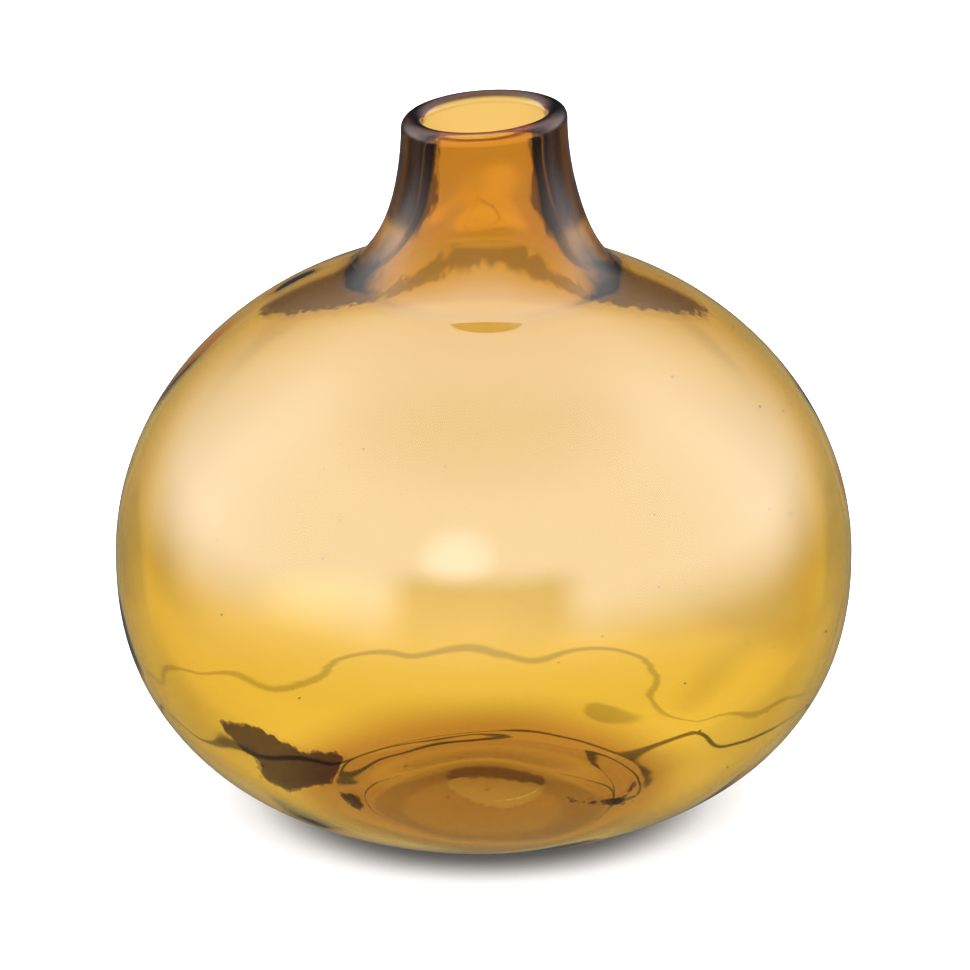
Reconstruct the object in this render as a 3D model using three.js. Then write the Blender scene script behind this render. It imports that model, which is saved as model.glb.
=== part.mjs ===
// Hand-blown glass bud vase: a squat round bowl, a short flared neck and a thick fire-polished lip.
// The vessel is one wall of glass from the lip down to the kicked-up base. Each region that the
// glassblower shapes is a closed solid of its own here, and meets the next one face to face.
// Millimetres, +Z up, origin on the table under the middle of the resting ring.

import * as THREE from "three";

// Bowl. It is widest at the girth, an ellipse above it and a fuller superellipse below it. The inside
// curve would bottom out just under the table, but the floor swells up before it gets there.
const GIRTH_HEIGHT = 43.2;
const HEEL_POWER = 2.3;
const OUTSIDE = { girth: 60, rise: 51.4 };
const INSIDE = { girth: 59, rise: 49.4 };
const INSIDE_LOW = -1.75;

// Base. It rests on a flat ring around a punt, the kick-up that keeps the rough middle off the table.
const RING_OUTER = 24;
const RING_INNER = 20;
const PUNT_RISE = 2.5;
const PUNT_WALL = 2.5;
const SWELL_EDGE = 26;

// Pontil mark, the broken-off glass left where the iron held the hot vase.
const PONTIL_RADIUS = 7.5;
const PONTIL_FACE_RADIUS = 5.6;
const PONTIL_DROP = 0.9;

// Neck. The pull is how far each flare leans along the bowl before it turns up, and the throat
// how far it runs straight under the lip.
const OUTER_FLARE = { shoulder: 24.8, pull: 9.5, throat: 8 };
const INNER_FLARE = { shoulder: 21, pull: 9, throat: 10 };

// Lip, a round bead tipped to one side because the mouth was opened and fire-polished by hand.
const TOP_HEIGHT = 118;
const LIP_MIDDLE_RADIUS = 11.6;
const LIP_BEAD_RADIUS = 1.9;
const MOUTH_TILT = THREE.MathUtils.degToRad(4.2);
const TILT_START = 91;
const TILT_FULL = 106;

// Where one region ends and the next begins: degrees round the bowl's profile, and a share of the flare.
const HEEL_TOP = -45;
const GIRTH = 0;
const SHOULDER_BOTTOM = 36;
const LIP_START = 0.75;

const SIDES = 48;
const AMBER = 0xc98a2e;

const point = (radius, height) => new THREE.Vector2(radius, height);

// Depth of each bowl curve below the girth: the outside one meets the table at the ring's outer edge.
const fullness = (share) => (1 - share ** HEEL_POWER) ** (1 / HEEL_POWER);
OUTSIDE.depth = GIRTH_HEIGHT / fullness(RING_OUTER / OUTSIDE.girth);
INSIDE.depth = GIRTH_HEIGHT - INSIDE_LOW;

/** A point of a bowl curve, from -90 degrees on the axis below to +90 degrees on the axis above. */
function bowlPoint(curve, degrees) {
  const angle = THREE.MathUtils.degToRad(Math.abs(degrees));
  if (degrees >= 0) {
    return point(curve.girth * Math.cos(angle), GIRTH_HEIGHT + curve.rise * Math.sin(angle));
  }
  const share = 2 / HEEL_POWER;
  const drop = curve.depth * Math.sin(angle) ** share;
  return point(curve.girth * Math.cos(angle) ** share, GIRTH_HEIGHT - drop);
}

/** The angle at which a bowl curve has a radius, above the girth or below it. */
function bowlAngle(curve, radius, above) {
  const cosine = above ? radius / curve.girth : (radius / curve.girth) ** (HEEL_POWER / 2);
  return THREE.MathUtils.radToDeg(Math.acos(cosine)) * (above ? 1 : -1);
}

/** A run of points of a bowl curve between two angles, both ends included. */
function bowlRun(curve, from, to, steps) {
  const run = [];
  for (let i = 0; i <= steps; i += 1) {
    run.push(bowlPoint(curve, from + ((to - from) * i) / steps));
  }
  return run;
}

/** The flare from a bowl curve's shoulder up to a radius just under the lip's bead. */
function flareCurve(curve, flare, lipRadius) {
  const angle = bowlAngle(curve, flare.shoulder, true);
  const start = bowlPoint(curve, angle);
  const along = bowlPoint(curve, angle + 0.5).sub(start).setLength(flare.pull);
  const end = point(lipRadius, TOP_HEIGHT - LIP_BEAD_RADIUS);
  const throat = point(lipRadius, end.y - flare.throat);
  return new THREE.CubicBezierCurve(start, start.clone().add(along), throat, end);
}

/** A run of points of a curve between two shares of it, both ends included. */
function curveRun(curve, from, to, steps) {
  const run = [];
  for (let i = 0; i <= steps; i += 1) {
    run.push(curve.getPoint(from + ((to - from) * i) / steps));
  }
  return run;
}

/** Height of a smooth swell that is full on the axis and gone at a radius. */
const swell = (rise, radius, edge) => (rise * (1 + Math.cos((Math.PI * radius) / edge))) / 2;

/** The punt's underside, seen from below a shallow dome. */
const puntHeight = (radius) => swell(PUNT_RISE, radius, RING_INNER);

/** The floor inside the vase, raised over the punt so that the base is thickest in the middle. */
function floorHeight(radius) {
  const bowl = GIRTH_HEIGHT - INSIDE.depth * fullness(radius / INSIDE.girth);
  return bowl + swell(PUNT_RISE + PUNT_WALL - INSIDE_LOW, radius, SWELL_EDGE);
}

/** The pontil mark's broken face, level in the middle and dying out at its edge. */
function pontilHeight(radius) {
  const edge = (PONTIL_RADIUS - radius) / (PONTIL_RADIUS - PONTIL_FACE_RADIUS);
  return puntHeight(radius) - PONTIL_DROP * Math.min(1, edge);
}

const pontilRadii = [0, PONTIL_FACE_RADIUS / 2, PONTIL_FACE_RADIUS, PONTIL_RADIUS];
const puntRadii = [...pontilRadii, 10, 12.5, 15, 17.5, RING_INNER];
const heelRadii = [24, 22, RING_INNER];
const heightRun = (radii, height) => radii.map((radius) => point(radius, height(radius)));

/** Tips everything above the shoulder, more and more up to the lip. */
function tipMouth(geometry) {
  const positions = geometry.attributes.position;
  for (let i = 0; i < positions.count; i += 1) {
    const z = positions.getZ(i);
    const tilt = Math.tan(MOUTH_TILT) * THREE.MathUtils.smoothstep(z, TILT_START, TILT_FULL);
    positions.setZ(i, z + tilt * positions.getX(i));
  }
  geometry.computeVertexNormals();
}

/** A named solid of revolution whose profile runs up the outside and back down the inside. */
function region(name, profile) {
  const geometry = new THREE.LatheGeometry(profile, SIDES);
  geometry.rotateX(Math.PI / 2);
  tipMouth(geometry);
  const glass = new THREE.MeshStandardMaterial({ color: AMBER, roughness: 0.04, metalness: 0 });
  const mesh = new THREE.Mesh(geometry, glass);
  mesh.name = name;
  return mesh;
}

/** A ring of the wall: the outside run, the inside run, and the first point again to close it. */
function wallRing(name, outsideRun, insideRun) {
  return region(name, [...outsideRun, ...insideRun, outsideRun[0].clone()]);
}

const outerShoulder = bowlAngle(OUTSIDE, OUTER_FLARE.shoulder, true);
const innerShoulder = bowlAngle(INSIDE, INNER_FLARE.shoulder, true);
const outerFlare = flareCurve(OUTSIDE, OUTER_FLARE, LIP_MIDDLE_RADIUS + LIP_BEAD_RADIUS);
const innerFlare = flareCurve(INSIDE, INNER_FLARE, LIP_MIDDLE_RADIUS - LIP_BEAD_RADIUS);

function makePontilMark() {
  const face = heightRun(pontilRadii, pontilHeight);
  const root = heightRun(pontilRadii.slice(0, -1), puntHeight).reverse();
  return region("pontil_mark", [...face, ...root]);
}

function makePunt() {
  const underside = heightRun(puntRadii, puntHeight);
  const floor = heightRun(puntRadii, floorHeight).reverse();
  return region("punt", [...underside, ...floor]);
}

function makeHeel() {
  const ring = point(RING_INNER, 0);
  const outside = bowlRun(OUTSIDE, bowlAngle(OUTSIDE, RING_OUTER, false), HEEL_TOP, 7);
  const inside = bowlRun(INSIDE, HEEL_TOP, bowlAngle(INSIDE, SWELL_EDGE, false), 7);
  return wallRing("heel", [ring, ...outside], [...inside, ...heightRun(heelRadii, floorHeight)]);
}

function makeBelly(name, from, to) {
  return wallRing(name, bowlRun(OUTSIDE, from, to, 7), bowlRun(INSIDE, to, from, 7));
}

function makeShoulder() {
  const outside = bowlRun(OUTSIDE, SHOULDER_BOTTOM, outerShoulder, 7);
  const inside = bowlRun(INSIDE, innerShoulder, SHOULDER_BOTTOM, 7);
  return wallRing("shoulder", outside, inside);
}

function makeNeck() {
  const outside = curveRun(outerFlare, 0, LIP_START, 8);
  const inside = curveRun(innerFlare, LIP_START, 0, 8);
  return wallRing("neck", outside, inside);
}

function makeLip() {
  const bead = new THREE.Path();
  bead.absarc(LIP_MIDDLE_RADIUS, TOP_HEIGHT - LIP_BEAD_RADIUS, LIP_BEAD_RADIUS, 0, Math.PI, false);
  const outside = [...curveRun(outerFlare, LIP_START, 1, 3), ...bead.getPoints(4).slice(1, -1)];
  const inside = curveRun(innerFlare, 1, LIP_START, 3);
  return wallRing("lip", outside, inside);
}

const vase = new THREE.Group();
vase.add(makePontilMark(), makePunt(), makeHeel());
vase.add(makeBelly("lower_belly", HEEL_TOP, GIRTH), makeBelly("upper_belly", GIRTH, SHOULDER_BOTTOM));
vase.add(makeShoulder(), makeNeck(), makeLip());

export default vase;
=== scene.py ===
import math
import random

import bmesh
import bpy
from mathutils import Matrix, Vector, noise


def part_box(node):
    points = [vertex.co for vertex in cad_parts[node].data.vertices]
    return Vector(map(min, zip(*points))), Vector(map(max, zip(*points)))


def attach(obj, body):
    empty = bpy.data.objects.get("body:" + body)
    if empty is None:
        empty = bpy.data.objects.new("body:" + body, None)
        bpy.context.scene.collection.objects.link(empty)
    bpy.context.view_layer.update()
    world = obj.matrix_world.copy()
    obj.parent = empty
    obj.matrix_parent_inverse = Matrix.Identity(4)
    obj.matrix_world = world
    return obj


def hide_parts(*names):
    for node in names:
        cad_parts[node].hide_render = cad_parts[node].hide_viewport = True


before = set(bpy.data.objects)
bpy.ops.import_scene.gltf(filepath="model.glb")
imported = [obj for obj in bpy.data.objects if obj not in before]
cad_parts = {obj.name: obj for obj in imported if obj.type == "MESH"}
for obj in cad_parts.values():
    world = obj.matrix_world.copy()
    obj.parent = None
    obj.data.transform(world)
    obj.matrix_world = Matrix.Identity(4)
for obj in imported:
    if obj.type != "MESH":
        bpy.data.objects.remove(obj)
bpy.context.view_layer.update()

# The vase is one continuous wall of blown glass, so it is one closed mesh here: the underside, the
# outside up to the lip, the inside down to the floor. Its shape is worked out in millimetres. The
# nodes see metres, so their places and edges are given with MM.
MM = 0.001

# Sizes read from the CAD regions.
GIRTH_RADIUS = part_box("lower_belly")[1].x / MM
GIRTH_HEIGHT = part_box("lower_belly")[1].z / MM
RING_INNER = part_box("punt")[1].x / MM
FLOOR_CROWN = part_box("punt")[1].z / MM
PUNT_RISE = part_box("pontil_mark")[1].z / MM
PONTIL_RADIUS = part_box("pontil_mark")[1].x / MM

# The bowl: an ellipse above the girth and a fuller superellipse below it. The sole is how far under
# the table the inside would bottom out, if the floor didn't swell up before it gets there.
HEEL_POWER = 2.3
GIRTH_WALL = 1.0
OUTSIDE = {"girth": GIRTH_RADIUS, "rise": 51.4}
INSIDE = {"girth": GIRTH_RADIUS - GIRTH_WALL, "rise": 49.4}
SOLE = 1.75
RING_OUTER = 24.0
RING_CORNER = 1.2
RING_INSET = 1.5
SWELL_EDGE = 26.0

# The neck and the lip. The pull is how far each flare leans along the bowl before it turns up, and
# the throat how far it runs straight under the lip.
OUTER_FLARE = {"shoulder": 24.8, "pull": 9.5, "throat": 8.0}
INNER_FLARE = {"shoulder": 21.0, "pull": 9.0, "throat": 10.0}
LEAN_STEP = 0.5
TOP_HEIGHT = 118.0
LIP_MIDDLE_RADIUS = 11.6
LIP_BEAD_RADIUS = 1.9
MOUTH_TILT = math.radians(4.2)
TILT_ZONE = (91.0, 106.0)

# How finely the wall is divided, up its profile and round it, and how near the axis counts as on it.
UNDERSIDE_STEPS = 36
BOWL_STEPS = 110
FLARE_STEPS = 44
BEAD_STEPS = 24
FLOOR_STEPS = 30
SEGMENTS = 224
ON_AXIS = 1e-6

# Hand-blown unevenness: the depth of each wave, the distance between its swings and its offset. The
# outside's waves die out towards the table and the inside's towards the axis.
OUTSIDE_WAVES = ((0.22, 55.0, 3.1), (0.05, 17.0, 9.7))
INSIDE_WAVES = ((0.2, 40.0, 21.3), (0.07, 14.0, 5.9))
DRAWN_WAVE = (0.12, 7.0, 14.2)
DRAWN_ZONE = (80.0, 95.0)
DRAWN_SQUEEZE = 0.8
CALM_HEIGHT = 6.0
CALM_RADIUS = 8.0

# Seeds, the bubbles in the wall: how many, their radii, where up the profile, how drawn out and how
# dented.
SEED = 7
SEED_COUNT = 70
SEED_SIZES = (0.08, 0.22)
SEED_ANGLES = (-50, 50)
SEED_PULLS = (1.0, 2.2)
SEED_DENTS = (0.9, 1.0)

# Painted dark reflections on the lower front, as patch outlines in millimetres across and up.
PAINTED_PATCHES = (
    ((-42.0, 28.6), (-37.5, 29.7), (-35.4, 30.0), (-32.7, 28.6), (-28.4, 27.0), (-23.2, 28.5),
     (-21.5, 27.8), (-22.8, 25.3), (-24.1, 21.6), (-28.5, 19.6), (-30.5, 17.4), (-35.2, 18.8),
     (-35.8, 22.8), (-39.2, 24.5)),
    ((-23.1, 20.1), (-20.8, 20.3), (-18.9, 18.1), (-19.2, 16.1), (-21.3, 17.5)),
    ((12.8, 21.3), (13.7, 20.0), (18.2, 18.8), (22.3, 19.1), (22.2, 17.1), (17.2, 18.1),
     (13.2, 19.7)),
    ((23.8, 22.4), (24.0, 20.8), (23.1, 19.6), (22.5, 20.4)),
)
PATCH_EDGE = 1.1
PATCH_CUT = (0.45, 0.6)

# The glass. Light takes the square root of a tint each time it crosses the skin.
GLASS_IOR = 1.5
DEPTH_COLOUR = (0.925, 0.65, 0.15, 1)
DEPTH_DENSITY = 160.0
BODY_TINT = (1.0, 0.80, 0.25, 1)
NECK_TINT = (0.89, 0.65, 0.24, 1)
# The base's colour: partly its thicker glass and partly painted shade from the table under it.
SOLE_TINT_AND_SHADE = (0.55, 0.30, 0.10, 1)
# Painted dark reflections on the root and the sides of the neck.
DARK_REFLECTION_TINT = (0.10, 0.06, 0.028, 1)
# Painted shade on the lip's bead, for the dark surroundings that it mirrors.
LIP_SHADE_TINT = (0.03, 0.015, 0.01, 1)
# Painted dark reflections, in patches on the lower front.
PATCH_SHADE_TINT = (0.17, 0.12, 0.075, 1)
# The pontil face's painted shade at its back. GLEAM_TINT below is its painted highlight at the front.
PONTIL_SHADE_TINT = (0.05, 0.025, 0.01, 1)
GLEAM_TINT = (1.0, 0.85, 0.5, 1)
BRIGHT_SHEEN = (1, 1, 1, 1)
DULL_SHEEN = (0.05, 0.05, 0.05, 1)
SKIN_ROUGHNESS = 0.02
BREAK_ROUGHNESS = 0.25

# The edges below are soft: a pair is where an edge starts and where it is full, and a four is both
# edges of a band. An oval is given by its half axes.

# The streaks that fray the edges of the deeper tint and of the painted shade, and make a fine ripple up the
# neck.
FRAY_SIZE = 1.3 * MM
FRAY_STRETCH = 0.4
FRAY_DETAIL = 3.0
FRAY_MIDDLE = 0.5
FRAY_DEPTH = 3.0 * MM
RIPPLE_DEPTH = 0.004 * MM
RIPPLE_BASE = (92 * MM, 104 * MM)

# The painted dark reflections are only in the outer skin of the front half.
FRONT = (4 * MM, 0.0)

# The thick root of the neck, an oval seen from above. Its edges are shares of the oval: the root's
# own, that of the duller sheen, and the painted dark arc along the root, which joins painted dark sides.
ROOT_OVAL = (34 * MM, 16.5 * MM)
ROOT_BASE = (80 * MM, 84 * MM)
ROOT_EDGE = (1.08, 1.03)
DULL_EDGE = (1.35, 1.0)
ROOT_ARC = (0.93, 0.96, 1.04, 1.07)
ROOT_ARC_TOP = (100.8 * MM, 99.8 * MM)
ROOT_ARC_SHARE = 0.7
ROOT_SIDE = (13 * MM, 19 * MM)

# The painted dark reflections on the sides of the neck. Their inner edge spreads outwards below the
# waist, and they are darkest at their outer edge.
NECK_SIDE = (7.0 * MM, 7.8 * MM)
NECK_RIM = (10.5 * MM, 12.0 * MM)
NECK_SPREAD = 0.5
NECK_WAIST = 107 * MM
NECK_BASE = (99 * MM, 102 * MM)

# Painted shade on the bead round the lip, with a paler gap in the middle of its front.
BEAD_BASE = (116.8 * MM, 117.4 * MM)
BEAD_GAP = (9.5 * MM, 7.0 * MM)
BEAD_GAP_FRONT = (-6 * MM, -9 * MM)
BEAD_GAP_SHARE = 0.85

# The deeper tint of the base, partly its thicker glass and partly painted shade from the table under it.
SOLE_EDGE = (37 * MM, 26 * MM)
SOLE_TOP = (16 * MM, 10 * MM)

# The broken face of the pontil mark, with painted shade at the back and a painted highlight at the
# front. It is painted on the underside: the mark's raised button is only in the CAD.
PONTIL_PLACE = (2.0 * MM, -1.0 * MM)
PONTIL_OVAL = (PONTIL_RADIUS * MM, 8.5 * MM)
PONTIL_EDGE = (1.05, 0.95)
PONTIL_FRAY = 80.0
PONTIL_TOP = 3.2 * MM
PONTIL_SPLIT = (-0.9 * MM, -0.1 * MM)
PONTIL_BACK = (4.2 * MM, 3.0 * MM)

# The studio is given in degrees of bearing from straight behind the vase and degrees above the
# horizon, or, for what has a round edge, in the direction's own y (1 is behind) or z (1 is above).

# Thresholds for what a light path has done: how often it crossed the glass's skin or bounced in it.
CAME_THROUGH = 0.5
PAST_ONE_WALL = 2.5
HAS_BOUNCED = 1.5

# What the eye and the floor see, and what the floor sees through the glass.
DOME_LEVEL = 2.0
FLOOR_GLASS_LEVEL = 0.2

# What comes through the glass. Each line across it drops to either side, by so many degrees for each
# degree of bearing, and keeps a share of the level behind it.
TABLE_LEVEL = 1.03
BACKDROP_LEVEL = 0.76
MOUTH_LEVEL = 1.1
CARD_LEVEL = 0.02
TABLE_FADE = (-20.6, -19.6)
TABLE_LINES = (
    {"band": (-22.02, -21.9, -21.72, -21.6), "drop": 0.36, "kept": 0.15},
    {"band": (-20.6, -20.54, -20.48, -20.42), "drop": 0.33, "kept": 0.65},
)
BACKDROP_TOP = (14, 22)
CARDS = (13.0, 18.0)
CARD_FOOT = (-24.5, -22.5)
BEHIND = (math.cos(math.radians(40)), math.cos(math.radians(35)))

# The share that is left of light that has bounced inside the glass.
BOUNCED_SHARE = 0.08
BOUNCED_BACK_SHARE = 0.7
BOUNCED_BACK = (0.45, 0.65)
BOUNCED_GROUND_SHARE = 0.6
BOUNCED_GROUND = (-50, -35)

# What the glass mirrors.
ROOM_LEVEL = 0.03
TENT_LEVEL = 8.0
TENT_REACH = (1.0, 0.1)
TENT_FOOT = (-13, 14)
ROOF = (0.7, 1.0)
ROOF_SHARE = 0.75
GROUND_LEVEL = 2.6
GROUND_DIM = 0.12
GROUND_REACH = (0.6, -0.1)
GROUND_FADE = (-30, 6)
STAND = (145, 160)
STAND_TOP = (26, 14)
LAMP_LEVEL = 12.0
LAMP_PLACE = Vector((-0.13, -0.87, 0.475)).normalized()
LAMP_EDGE = (math.cos(math.radians(14)), 1.0)

# The table, which is darker where the vase shuts the light out, and the light over it.
TABLE_RADIUS = 6.0
TABLE_SPLIT = 26 * MM
TABLE_SIDES = 96
PAPER = (0.95, 0.95, 0.95, 1)
PAPER_SHUT_OUT = (0.30, 0.30, 0.30, 1)
SHUT_OUT = (38.5 * MM, 27 * MM)
PAPER_ROUGHNESS = 0.9
PAPER_SHEEN = 0.1
KEY_PLACE = Vector((0.0, -0.5, 1.2))
KEY_SIZE = 0.9
KEY_POWER = 6.0

# The camera: far enough away for a long lens, looking down at the bowl.
CAMERA_DISTANCE = 1.55
CAMERA_ELEVATION = math.radians(19.5)
CAMERA_AIM = Vector((0.19, 0.0, 54.35)) * MM
CAMERA_CLIP = (0.05, 50)
FRAME_WIDTH = 157.7 * MM
SENSOR = 36.0

# How many times light may bounce, or cross the glass, before it is dropped.
PATH_BOUNCES = 24
GLOSSY_BOUNCES = 12


# ---------------------------------------------------------------- profile of the wall

def ramp(value, start, end):
    """How far a value is on its way from start to end, from 0 to 1."""
    return min(1.0, max(0.0, (value - start) / (end - start)))


def fullness(share):
    """How far down the lower bowl's curve a share of the girth is: 1 on the axis, 0 at the girth."""
    return (1 - share ** HEEL_POWER) ** (1 / HEEL_POWER)


OUTSIDE["depth"] = GIRTH_HEIGHT / fullness(RING_OUTER / OUTSIDE["girth"])
INSIDE["depth"] = GIRTH_HEIGHT + SOLE


def bowl_point(curve, degrees):
    """A point of a bowl curve, from -90 degrees on the axis below to +90 degrees on the axis above."""
    angle = math.radians(abs(degrees))
    if degrees >= 0:
        return Vector((curve["girth"] * math.cos(angle), GIRTH_HEIGHT + curve["rise"] * math.sin(angle)))
    share = 2 / HEEL_POWER
    drop = curve["depth"] * math.sin(angle) ** share
    return Vector((curve["girth"] * math.cos(angle) ** share, GIRTH_HEIGHT - drop))


def bowl_angle(curve, radius, above):
    """The angle at which a bowl curve has a radius, above the girth or below it."""
    share = radius / curve["girth"]
    if above:
        return math.degrees(math.acos(share))
    return -math.degrees(math.acos(share ** (HEEL_POWER / 2)))


def bowl_run(curve, start, end):
    """Points of a bowl curve between two angles, both ends included."""
    return [bowl_point(curve, start + (end - start) * i / BOWL_STEPS) for i in range(BOWL_STEPS + 1)]


def flare_run(curve, flare, lip_radius):
    """Points of the flare from a bowl curve's shoulder up to the lip, both ends included."""
    angle = bowl_angle(curve, flare["shoulder"], True)
    start = bowl_point(curve, angle)
    lean = (bowl_point(curve, angle + LEAN_STEP) - start).normalized() * flare["pull"]
    end = Vector((lip_radius, TOP_HEIGHT - LIP_BEAD_RADIUS))
    throat = Vector((lip_radius, end.y - flare["throat"]))
    run = []
    for i in range(FLARE_STEPS + 1):
        t = i / FLARE_STEPS
        s = 1 - t
        run.append(start * s ** 3 + (start + lean) * 3 * s * s * t + throat * 3 * s * t * t + end * t ** 3)
    return run


def bead_run():
    """Points over the lip's round bead from the outside to the inside, both ends left out."""
    middle = Vector((LIP_MIDDLE_RADIUS, TOP_HEIGHT - LIP_BEAD_RADIUS))
    run = []
    for i in range(1, BEAD_STEPS):
        turn = math.pi * i / BEAD_STEPS
        run.append(middle + Vector((math.cos(turn), math.sin(turn))) * LIP_BEAD_RADIUS)
    return run


def swell(rise, radius, edge):
    """Height of a smooth swell that is full on the axis and gone at a radius."""
    return rise * (1 + math.cos(math.pi * min(1.0, radius / edge))) / 2


def floor_height(radius):
    """The floor inside the vase, raised over the punt."""
    bowl = GIRTH_HEIGHT - INSIDE["depth"] * fullness(radius / INSIDE["girth"])
    return bowl + swell(FLOOR_CROWN + SOLE, radius, SWELL_EDGE)


def base_run():
    """Points of the underside from the axis out, and of the flat ring that the vase rests on."""
    radii = [RING_INNER * i / UNDERSIDE_STEPS for i in range(UNDERSIDE_STEPS + 1)]
    ring = [Vector((RING_INNER + RING_INSET, 0.0)), Vector((RING_OUTER - RING_CORNER, 0.0))]
    return [Vector((radius, swell(PUNT_RISE, radius, RING_INNER))) for radius in radii] + ring


def floor_run():
    """Points of the floor from just inside the swell's edge to the axis."""
    radii = [SWELL_EDGE * i / FLOOR_STEPS for i in reversed(range(FLOOR_STEPS))]
    return [Vector((radius, floor_height(radius))) for radius in radii]


def wall_profile():
    """The wall's profile from the axis below, round the outside and the lip, to the axis above the
    floor. Each point comes with its share of the outside's waves, its share of the inside's, and 1
    if it is on the outside or the bead, or 0 if it is on the inside."""
    heel = bowl_angle(OUTSIDE, RING_OUTER + RING_CORNER, False)
    outer = bowl_run(OUTSIDE, heel, bowl_angle(OUTSIDE, OUTER_FLARE["shoulder"], True))
    outer += flare_run(OUTSIDE, OUTER_FLARE, LIP_MIDDLE_RADIUS + LIP_BEAD_RADIUS)[1:]
    bead = bead_run()
    shoulder = bowl_angle(INSIDE, INNER_FLARE["shoulder"], True)
    inner = flare_run(INSIDE, INNER_FLARE, LIP_MIDDLE_RADIUS - LIP_BEAD_RADIUS)[::-1]
    inner += bowl_run(INSIDE, shoulder, bowl_angle(INSIDE, SWELL_EDGE, False))[1:] + floor_run()
    profile = [(point, 0.0, 0.0, 1.0) for point in base_run()]
    profile += [(point, 1.0, 0.0, 1.0) for point in outer]
    for i, point in enumerate(bead):
        share = (i + 1) / (len(bead) + 1)
        profile.append((point, 1 - share, share, 1.0))
    profile += [(point, 0.0, ramp(point.x, 0.0, CALM_RADIUS), 0.0) for point in inner]
    return profile


def tip(x, z):
    """How much higher a point above the shoulder stands because the mouth is tipped."""
    share = ramp(z, *TILT_ZONE)
    return math.tan(MOUTH_TILT) * share * share * (3 - 2 * share) * x


# ---------------------------------------------------------------- hand-blown unevenness

def drift(point, depth, scale, offset):
    """Smooth noise of a place, up to depth either way, with one swing every scale millimetres."""
    return depth * noise.noise(point / scale + Vector((offset, 2 * offset, 3 * offset)))


def outside_wave(point, height):
    """How far the outside stands proud of its true curve, in millimetres."""
    return sum(drift(point, *wave) for wave in OUTSIDE_WAVES) * ramp(height, 0.0, CALM_HEIGHT)


def inside_wave(point, height):
    """How far the inside stands proud of its true curve, in millimetres."""
    drawn = Vector((point.x, point.y, point.z * DRAWN_SQUEEZE))
    waves = sum(drift(point, *wave) for wave in INSIDE_WAVES)
    return waves + ramp(height, *DRAWN_ZONE) * drift(drawn, *DRAWN_WAVE)


# ---------------------------------------------------------------- the glass

def wall_rings(mesh):
    """Adds the wall's rings of vertices to a bmesh, each a single vertex where it is on the axis.
    Stores 1 on the outside, and 0 on the inside and on the axis."""
    skin = mesh.verts.layers.float.new("skin")
    profile = wall_profile()
    points = [row[0] for row in profile]
    neighbours = zip(points[:1] + points[:-1], points[1:] + points[-1:])
    rings = []
    for (here, outside_share, inside_share, is_outside), (before, after) in zip(profile, neighbours):
        if here.x < ON_AXIS:
            rings.append([mesh.verts.new(Vector((0, 0, here.y)) * MM)])
            continue
        run = (after - before).normalized()
        out = Vector((run.y, -run.x))
        ring = []
        for k in range(SEGMENTS):
            angle = 2 * math.pi * k / SEGMENTS
            side = Vector((math.cos(angle), math.sin(angle)))
            place = Vector((here.x * side.x, here.x * side.y, here.y))
            wave = outside_share * outside_wave(place, here.y) + inside_share * inside_wave(place, here.y)
            moved = here + out * wave
            x, y = moved.x * side.x, moved.x * side.y
            vertex = mesh.verts.new(Vector((x, y, moved.y + tip(x, moved.y))) * MM)
            vertex[skin] = is_outside
            ring.append(vertex)
        rings.append(ring)
    return rings


def build_wall(mesh):
    """Adds the wall to a bmesh, as rings joined by quads and closed on the axis at both ends."""
    rings = wall_rings(mesh)
    for a, b in zip(rings, rings[1:]):
        for k in range(SEGMENTS):
            n = (k + 1) % SEGMENTS
            if len(a) == 1:
                mesh.faces.new((a[0], b[n], b[k]))
            elif len(b) == 1:
                mesh.faces.new((a[k], a[n], b[0]))
            else:
                mesh.faces.new((a[k], a[n], b[n], b[k]))


def add_seeds(mesh):
    """Adds the bubbles trapped in the wall, drawn out sideways, as closed hollows facing inwards."""
    rng = random.Random(SEED)
    for _ in range(SEED_COUNT):
        size = rng.uniform(*SEED_SIZES)
        degrees = rng.uniform(*SEED_ANGLES)
        depth = bowl_point(OUTSIDE, degrees).lerp(bowl_point(INSIDE, degrees), 0.5)
        turn = rng.uniform(0, 2 * math.pi)
        place = Vector((depth.x * math.cos(turn), depth.x * math.sin(turn), depth.y))
        made = bmesh.ops.create_icosphere(mesh, subdivisions=2, radius=size * MM)["verts"]
        pull = rng.uniform(*SEED_PULLS)
        for vertex in made:
            drawn = Matrix.Diagonal((1.0, pull, rng.uniform(*SEED_DENTS))) @ vertex.co
            vertex.co = Matrix.Rotation(turn, 3, "Z") @ drawn + place * MM
        faces = {face for vertex in made for face in vertex.link_faces}
        bmesh.ops.reverse_faces(mesh, faces=list(faces))


def inside_patch(x, z, outline):
    """How far inside a painted patch's outline a place is, in mm, and less than 0 outside it."""
    here = Vector((x, z))
    inside = False
    nearest = math.inf
    for a, b in zip(outline, outline[1:] + outline[:1]):
        start, end = Vector(a), Vector(b)
        share = max(0.0, min(1.0, (here - start).dot(end - start) / (end - start).length_squared))
        nearest = min(nearest, (here - start.lerp(end, share)).length)
        if (a[1] > z) != (b[1] > z) and x < a[0] + (z - a[1]) * (b[0] - a[0]) / (b[1] - a[1]):
            inside = not inside
    return nearest if inside else -nearest


def paint_patches(data):
    """Stores the painted dark patches: 1 well inside one, 0.5 at its outline and 0 well outside, over the
    lower front.
    """
    layer = data.attributes.new("patch", "FLOAT", "POINT")
    for vertex, value in zip(data.vertices, layer.data):
        x, y, z = vertex.co / MM
        if y < 0 and z < GIRTH_HEIGHT and math.hypot(x, y) > RING_OUTER:
            depth = max(inside_patch(x, z, outline) for outline in PAINTED_PATCHES)
            value.value = ramp(depth, -PATCH_EDGE, PATCH_EDGE)


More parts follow.
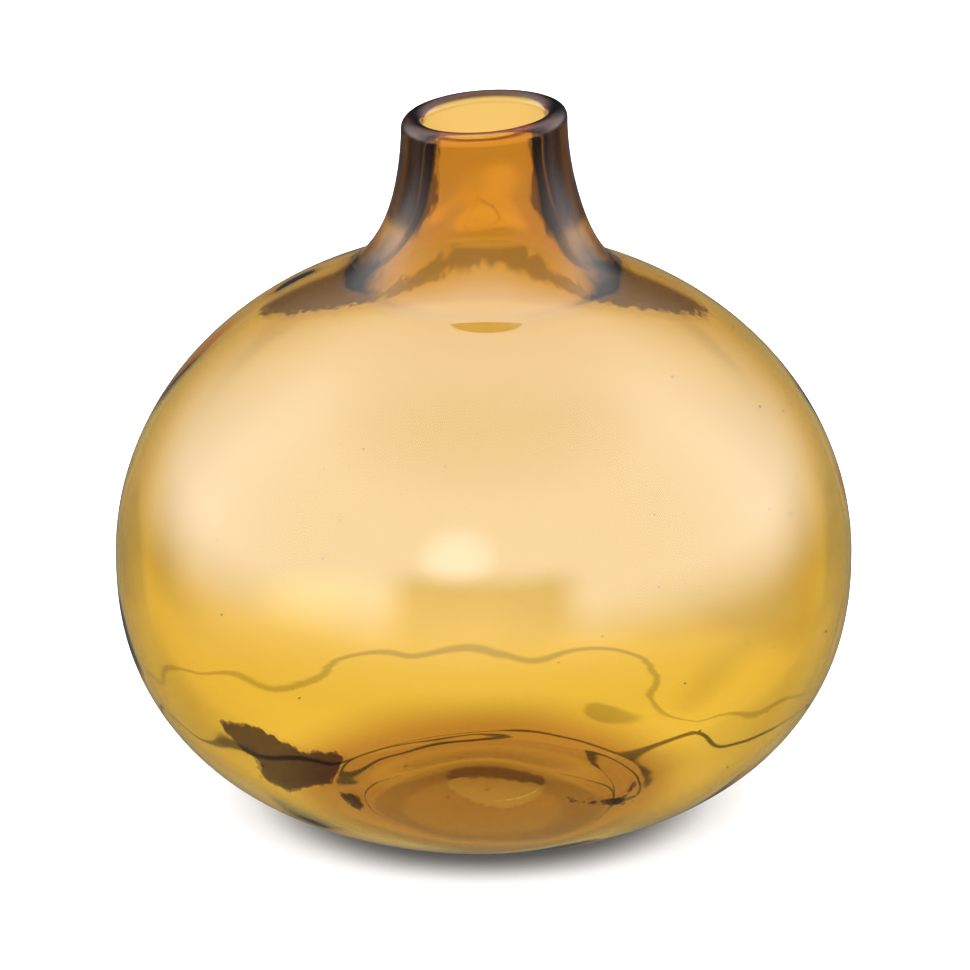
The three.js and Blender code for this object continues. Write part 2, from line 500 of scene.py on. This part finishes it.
def make_vase():
    mesh = bmesh.new()
    build_wall(mesh)
    bmesh.ops.recalc_face_normals(mesh, faces=mesh.faces)
    add_seeds(mesh)
    data = bpy.data.meshes.new("vase_glass")
    mesh.to_mesh(data)
    mesh.free()
    for face in data.polygons:
        face.use_smooth = True
    paint_patches(data)
    vase = bpy.data.objects.new("vase_glass", data)
    bpy.context.scene.collection.objects.link(vase)
    return vase


# ---------------------------------------------------------------- node helpers

def feed(tree, socket, value):
    """Links a socket to an input, or sets the input to a plain value."""
    if isinstance(value, bpy.types.NodeSocket):
        tree.links.new(value, socket)
    else:
        socket.default_value = value


def combine(tree, operation, *values):
    """A math node on its values, each a socket or a number."""
    node = tree.nodes.new("ShaderNodeMath")
    node.operation = operation
    for socket, value in zip(node.inputs, values):
        feed(tree, socket, value)
    return node.outputs[0]


def multiply(tree, first, *others):
    """The product of its values, each a socket or a number."""
    for other in others:
        first = combine(tree, "MULTIPLY", first, other)
    return first


def soft_step(tree, value, start, end):
    """A smooth step of a value, from 0 at start to 1 at end."""
    node = tree.nodes.new("ShaderNodeMapRange")
    node.interpolation_type = "SMOOTHSTEP"
    tree.links.new(value, node.inputs["Value"])
    node.inputs["From Min"].default_value = start
    node.inputs["From Max"].default_value = end
    return node.outputs["Result"]


def between(tree, value, start, full, fade, end):
    """A value's share of a soft-edged band that rises from start to full and falls from fade to end."""
    return multiply(tree, soft_step(tree, value, start, full), soft_step(tree, value, end, fade))


def blend(tree, share, low, high):
    """A mix of two levels, each a socket or a number."""
    node = tree.nodes.new("ShaderNodeMix")
    feed(tree, node.inputs["Factor"], share)
    feed(tree, node.inputs["A"], low)
    feed(tree, node.inputs["B"], high)
    return node.outputs["Result"]


def mix_colours(tree, share, low, high):
    """A mix of two colours, each a socket or a plain colour."""
    node = tree.nodes.new("ShaderNodeMix")
    node.data_type = "RGBA"
    feed(tree, node.inputs["Factor"], share)
    colours = [socket for socket in node.inputs if socket.type == "RGBA"]
    for socket, colour in zip(colours, (low, high)):
        feed(tree, socket, colour)
    return next(socket for socket in node.outputs if socket.type == "RGBA")


def separate(tree, place):
    """The x, y and z of a place."""
    node = tree.nodes.new("ShaderNodeSeparateXYZ")
    tree.links.new(place, node.inputs[0])
    return node.outputs


def stored(tree, name):
    """A value that is stored on the mesh's points."""
    node = tree.nodes.new("ShaderNodeAttribute")
    node.attribute_name = name
    return node.outputs["Fac"]


def reach(tree, x, y, half_width=1.0, half_depth=1.0):
    """Distance from an oval's middle, as a share of the oval with these half axes."""
    across = combine(tree, "DIVIDE", x, half_width)
    along = combine(tree, "DIVIDE", y, half_depth)
    squares = [multiply(tree, value, value) for value in (across, along)]
    return combine(tree, "SQRT", combine(tree, "ADD", *squares))


# ---------------------------------------------------------------- amber glass

def streaks(tree, place):
    """Noise from 0 to 1, drawn out up the vessel."""
    stretch = tree.nodes.new("ShaderNodeMapping")
    stretch.inputs["Scale"].default_value = (1, 1, FRAY_STRETCH)
    tree.links.new(place, stretch.inputs["Vector"])
    grain = tree.nodes.new("ShaderNodeTexNoise")
    grain.inputs["Scale"].default_value = 1 / FRAY_SIZE
    grain.inputs["Detail"].default_value = FRAY_DETAIL
    tree.links.new(stretch.outputs["Vector"], grain.inputs["Vector"])
    return grain.outputs["Fac"]


def neck_root(tree, x, y, z, shift):
    """The thick root of the neck, its duller surroundings, and the painted dark reflection in its skin."""
    above = soft_step(tree, z, *ROOT_BASE)
    oval = reach(tree, x, y, *ROOT_OVAL)
    root = multiply(tree, soft_step(tree, oval, *ROOT_EDGE), above)
    dull = multiply(tree, soft_step(tree, oval, *DULL_EDGE), above)
    frayed = combine(tree, "ADD", oval, combine(tree, "DIVIDE", shift, ROOT_OVAL[1]))
    arc = between(tree, frayed, *ROOT_ARC)
    arc = multiply(tree, arc, soft_step(tree, z, *ROOT_ARC_TOP), ROOT_ARC_SHARE)
    aside = combine(tree, "ADD", combine(tree, "ABSOLUTE", x), shift)
    dark_reflection = combine(tree, "MAXIMUM", arc, soft_step(tree, aside, *ROOT_SIDE))
    dark_reflection = multiply(tree, dark_reflection, multiply(tree, soft_step(tree, frayed, *ROOT_EDGE), above))
    return root, dull, dark_reflection


def neck_sides(tree, x, z, shift):
    """The painted dark reflections on the sides of the neck, and where they are darkest, at their outer edge.
    """
    aside = combine(tree, "ADD", combine(tree, "ABSOLUTE", x), shift)
    below = combine(tree, "MAXIMUM", combine(tree, "SUBTRACT", NECK_WAIST, z), 0.0)
    waist = combine(tree, "SUBTRACT", aside, multiply(tree, below, NECK_SPREAD))
    side = multiply(tree, soft_step(tree, waist, *NECK_SIDE), soft_step(tree, z, *NECK_BASE))
    return side, soft_step(tree, waist, *NECK_RIM)


def painted_lip_shade(tree, x, y, z):
    """Painted shade on the bead round the tipped lip."""
    level = combine(tree, "SUBTRACT", z, multiply(tree, x, math.tan(MOUTH_TILT)))
    gap = soft_step(tree, combine(tree, "ABSOLUTE", x), *BEAD_GAP)
    gap = multiply(tree, gap, soft_step(tree, y, *BEAD_GAP_FRONT), BEAD_GAP_SHARE)
    return multiply(tree, soft_step(tree, level, *BEAD_BASE), combine(tree, "SUBTRACT", 1.0, gap))


def pontil_face(tree, x, y, z, shift):
    """The broken face of the pontil mark, and its painted shade and highlight."""
    across = combine(tree, "SUBTRACT", x, PONTIL_PLACE[0])
    along = combine(tree, "SUBTRACT", y, PONTIL_PLACE[1])
    torn = combine(tree, "ADD", along, shift)
    oval = reach(tree, across, along, *PONTIL_OVAL)
    oval = combine(tree, "ADD", oval, multiply(tree, shift, PONTIL_FRAY))
    face = multiply(tree, soft_step(tree, oval, *PONTIL_EDGE), combine(tree, "LESS_THAN", z, PONTIL_TOP))
    face = multiply(tree, face, soft_step(tree, torn, *PONTIL_BACK))
    # Painted shade at the back of the face and a painted highlight at its front.
    return face, mix_colours(tree, soft_step(tree, torn, *PONTIL_SPLIT), GLEAM_TINT, PONTIL_SHADE_TINT)


def amber_glass():
    """Clear amber glass, deeper in the neck and, partly as painted shade, in the base. Its skin has painted
    dark reflections and patches, painted shade on the lip's bead, and the pontil mark's broken face with
    its painted shade and highlight."""
    material = bpy.data.materials.new("amber_glass")
    material.use_nodes = True
    tree = material.node_tree
    glass = tree.nodes["Principled BSDF"]
    glass.inputs["IOR"].default_value = GLASS_IOR
    glass.inputs["Transmission Weight"].default_value = 1.0
    place = tree.nodes.new("ShaderNodeTexCoord").outputs["Object"]
    x, y, z = separate(tree, place)
    fray = streaks(tree, place)
    uneven = combine(tree, "SUBTRACT", fray, FRAY_MIDDLE)
    shift = multiply(tree, uneven, FRAY_DEPTH)

    # Where the colour changes: the neck's deeper glass, painted dark reflections, painted shade, the partly
    # shaded sole and the pontil face's painted shade and highlight.
    front = multiply(tree, stored(tree, "skin"), soft_step(tree, y, *FRONT))
    root, dull, dark_reflection = neck_root(tree, x, y, z, shift)
    side, rim = neck_sides(tree, x, z, shift)
    # Painted dark reflections on the neck. Their darkest outer edge joins the lip's painted shade.
    rim = multiply(tree, multiply(tree, side, front), rim)
    dark_reflection = multiply(tree, combine(tree, "MAXIMUM", dark_reflection, side), front)
    # Painted shade: the lip's bead and the darkest edge of the neck's sides.
    dark = combine(tree, "MAXIMUM", painted_lip_shade(tree, x, y, z), rim)
    # The base's deeper tint, partly thicker glass and partly painted shade from the table.
    sole = multiply(tree, soft_step(tree, reach(tree, x, y), *SOLE_EDGE), soft_step(tree, z, *SOLE_TOP))
    face, face_shade_and_gleam = pontil_face(tree, x, y, z, shift)
    # Painted dark patches of reflection on the lower front.
    patch = soft_step(tree, combine(tree, "ADD", stored(tree, "patch"), uneven), *PATCH_CUT)

    # The tint with its painted shade and highlight, the sheen and the roughness.
    tint = mix_colours(tree, root, BODY_TINT, NECK_TINT)
    for share, colour in ((dark_reflection, DARK_REFLECTION_TINT), (dark, LIP_SHADE_TINT), (sole, SOLE_TINT_AND_SHADE), (face, face_shade_and_gleam),
                          (patch, PATCH_SHADE_TINT)):
        tint = mix_colours(tree, share, tint, colour)
    tree.links.new(tint, glass.inputs["Base Color"])
    tree.links.new(mix_colours(tree, dull, BRIGHT_SHEEN, DULL_SHEEN), glass.inputs["Specular Tint"])
    rough = multiply(tree, fray, SKIN_ROUGHNESS)
    rough = combine(tree, "MAXIMUM", rough, multiply(tree, face, BREAK_ROUGHNESS))
    tree.links.new(rough, glass.inputs["Roughness"])

    # The ripple up the neck, and the depth of the colour inside the glass.
    ripple = tree.nodes.new("ShaderNodeBump")
    ripple.inputs["Distance"].default_value = RIPPLE_DEPTH
    tree.links.new(soft_step(tree, z, *RIPPLE_BASE), ripple.inputs["Strength"])
    tree.links.new(fray, ripple.inputs["Height"])
    tree.links.new(ripple.outputs["Normal"], glass.inputs["Normal"])
    depth = tree.nodes.new("ShaderNodeVolumeAbsorption")
    depth.inputs["Color"].default_value = DEPTH_COLOUR
    depth.inputs["Density"].default_value = DEPTH_DENSITY
    tree.links.new(depth.outputs["Volume"], tree.nodes["Material Output"].inputs["Volume"])
    return material


# ---------------------------------------------------------------- studio

def seen_through(tree, path, y, bearing, height):
    """What comes through the glass: white all round, and behind the vase a table and a backdrop, with
    the lines of the table's far edge and of a fold, a dark card on either side and darkness above.
    Through one wall only, at the mouth, the backdrop is brighter and has no cards. Light that has
    bounced inside the glass keeps a part of its strength."""
    one_wall = combine(tree, "LESS_THAN", path["Transmission Depth"], PAST_ONE_WALL)
    far_table = blend(tree, one_wall, BACKDROP_LEVEL, MOUTH_LEVEL)
    table = blend(tree, soft_step(tree, height, *TABLE_FADE), TABLE_LEVEL, far_table)
    for line in TABLE_LINES:
        level = combine(tree, "ADD", height, multiply(tree, bearing, line["drop"]))
        table = multiply(tree, table, blend(tree, between(tree, level, *line["band"]), 1.0, line["kept"]))
    cards = multiply(tree, soft_step(tree, bearing, *CARDS), soft_step(tree, height, *CARD_FOOT))
    cards = multiply(tree, cards, combine(tree, "SUBTRACT", 1.0, one_wall))
    dark = combine(tree, "MAXIMUM", cards, soft_step(tree, height, *BACKDROP_TOP))
    behind = blend(tree, dark, table, CARD_LEVEL)
    through = blend(tree, soft_step(tree, y, *BEHIND), 1.0, behind)
    bounces = combine(tree, "SUBTRACT", path["Ray Depth"], path["Transmission Depth"])
    bounced = combine(tree, "GREATER_THAN", bounces, HAS_BOUNCED)
    share = blend(tree, soft_step(tree, y, *BOUNCED_BACK), BOUNCED_SHARE, BOUNCED_BACK_SHARE)
    share = blend(tree, soft_step(tree, height, *BOUNCED_GROUND), BOUNCED_GROUND_SHARE, share)
    return multiply(tree, through, blend(tree, bounced, 1.0, share))


def mirrored(tree, direction, y, z, bearing, height):
    """What the glass mirrors: a tent of light that is brightest in front, with a lamp in it, and below
    it the dim ground and a camera stand."""
    lamp = tree.nodes.new("ShaderNodeVectorMath")
    lamp.operation = "DOT_PRODUCT"
    feed(tree, lamp.inputs[0], direction)
    feed(tree, lamp.inputs[1], LAMP_PLACE)
    glow = soft_step(tree, lamp.outputs["Value"], *LAMP_EDGE)
    tent = blend(tree, soft_step(tree, y, *TENT_REACH), ROOM_LEVEL, TENT_LEVEL)
    tent = multiply(tree, tent, blend(tree, soft_step(tree, z, *ROOF), 1.0, ROOF_SHARE))
    tent = blend(tree, glow, tent, LAMP_LEVEL)
    stand = multiply(tree, soft_step(tree, bearing, *STAND), soft_step(tree, height, *STAND_TOP))
    clear = combine(tree, "SUBTRACT", 1.0, stand)
    near = multiply(tree, soft_step(tree, height, *GROUND_FADE), soft_step(tree, y, *GROUND_REACH))
    ground = blend(tree, near, GROUND_DIM, GROUND_LEVEL)
    return blend(tree, multiply(tree, soft_step(tree, height, *TENT_FOOT), clear), ground, tent)


def make_world():
    """The studio, which only the glass sees. The eye and the floor see a plain white dome."""
    world = bpy.data.worlds.new("studio")
    bpy.context.scene.world = world
    world.use_nodes = True
    tree = world.node_tree
    direction = tree.nodes.new("ShaderNodeTexCoord").outputs["Generated"]
    path = tree.nodes.new("ShaderNodeLightPath").outputs
    x, y, z = separate(tree, direction)
    turned = combine(tree, "ABSOLUTE", combine(tree, "ARCTAN2", x, y))
    bearing = multiply(tree, turned, math.degrees(1))
    height = multiply(tree, combine(tree, "ARCSINE", z), math.degrees(1))
    through = seen_through(tree, path, y, bearing, height)
    came_through = combine(tree, "GREATER_THAN", path["Transmission Depth"], CAME_THROUGH)
    light = blend(tree, came_through, mirrored(tree, direction, y, z, bearing, height), through)
    plain = combine(tree, "MAXIMUM", path["Diffuse Depth"], path["Is Camera Ray"])
    plain = combine(tree, "MINIMUM", plain, 1.0)
    dome = blend(tree, path["Is Transmission Ray"], DOME_LEVEL, FLOOR_GLASS_LEVEL)
    background = tree.nodes["Background"]
    background.inputs["Color"].default_value = (1, 1, 1, 1)
    tree.links.new(blend(tree, plain, light, dome), background.inputs["Strength"])


def floor_paper():
    """White paper, darker where the vase shuts the light out."""
    material = bpy.data.materials.new("floor_white")
    material.use_nodes = True
    tree = material.node_tree
    paper = tree.nodes["Principled BSDF"]
    x, y, _ = separate(tree, tree.nodes.new("ShaderNodeTexCoord").outputs["Object"])
    shut_out = soft_step(tree, reach(tree, x, y), *SHUT_OUT)
    tree.links.new(mix_colours(tree, shut_out, PAPER, PAPER_SHUT_OUT), paper.inputs["Base Color"])
    paper.inputs["Roughness"].default_value = PAPER_ROUGHNESS
    paper.inputs["Specular IOR Level"].default_value = PAPER_SHEEN
    return material


def floor_ring(mesh, radius):
    """A ring of vertices on the floor."""
    turns = [2 * math.pi * k / TABLE_SIDES for k in range(TABLE_SIDES)]
    return [mesh.verts.new((radius * math.cos(turn), radius * math.sin(turn), 0)) for turn in turns]


def make_floor():
    """A pale table that the glass doesn't see: a disc under the vase and a wide ring round it."""
    material = floor_paper()
    for name, inside, outside in (("table_near", 0.0, TABLE_SPLIT), ("table_far", TABLE_SPLIT, TABLE_RADIUS)):
        mesh = bmesh.new()
        outer = floor_ring(mesh, outside)
        if inside == 0.0:
            mesh.faces.new(outer)
        else:
            inner = floor_ring(mesh, inside)
            for k in range(TABLE_SIDES):
                n = (k + 1) % TABLE_SIDES
                mesh.faces.new((inner[k], outer[k], outer[n], inner[n]))
        data = bpy.data.meshes.new(name)
        mesh.to_mesh(data)
        mesh.free()
        data.materials.append(material)
        floor = bpy.data.objects.new(name, data)
        bpy.context.scene.collection.objects.link(floor)
        floor.visible_transmission = False
        floor.visible_glossy = False


def make_key():
    """A soft round lamp over the table, which the eye and the glass don't see."""
    light = bpy.data.lights.new("key", "AREA")
    light.shape = "DISK"
    light.size = KEY_SIZE
    light.energy = KEY_POWER
    lamp = bpy.data.objects.new("key", light)
    bpy.context.scene.collection.objects.link(lamp)
    lamp.location = KEY_PLACE
    lamp.rotation_euler = (-KEY_PLACE).to_track_quat("-Z", "Y").to_euler()
    lamp.visible_glossy = False
    lamp.visible_transmission = False
    lamp.visible_camera = False


def make_camera():
    data = bpy.data.cameras.new("camera")
    camera = bpy.data.objects.new("camera", data)
    bpy.context.scene.collection.objects.link(camera)
    back = Vector((0, -math.cos(CAMERA_ELEVATION), math.sin(CAMERA_ELEVATION)))
    camera.location = CAMERA_AIM + back * CAMERA_DISTANCE
    camera.rotation_euler = (-back).to_track_quat("-Z", "Y").to_euler()
    data.sensor_width = SENSOR
    data.lens = SENSOR * CAMERA_DISTANCE / FRAME_WIDTH
    data.clip_start, data.clip_end = CAMERA_CLIP
    bpy.context.scene.camera = camera


# ---------------------------------------------------------------- scene

vase = make_vase()
vase.data.materials.append(amber_glass())
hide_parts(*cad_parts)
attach(vase, "root")

make_world()
make_floor()
make_key()
make_camera()

scene = bpy.context.scene
scene.view_settings.view_transform = "Standard"
scene.cycles.max_bounces = PATH_BOUNCES
scene.cycles.transmission_bounces = PATH_BOUNCES
scene.cycles.glossy_bounces = GLOSSY_BOUNCES
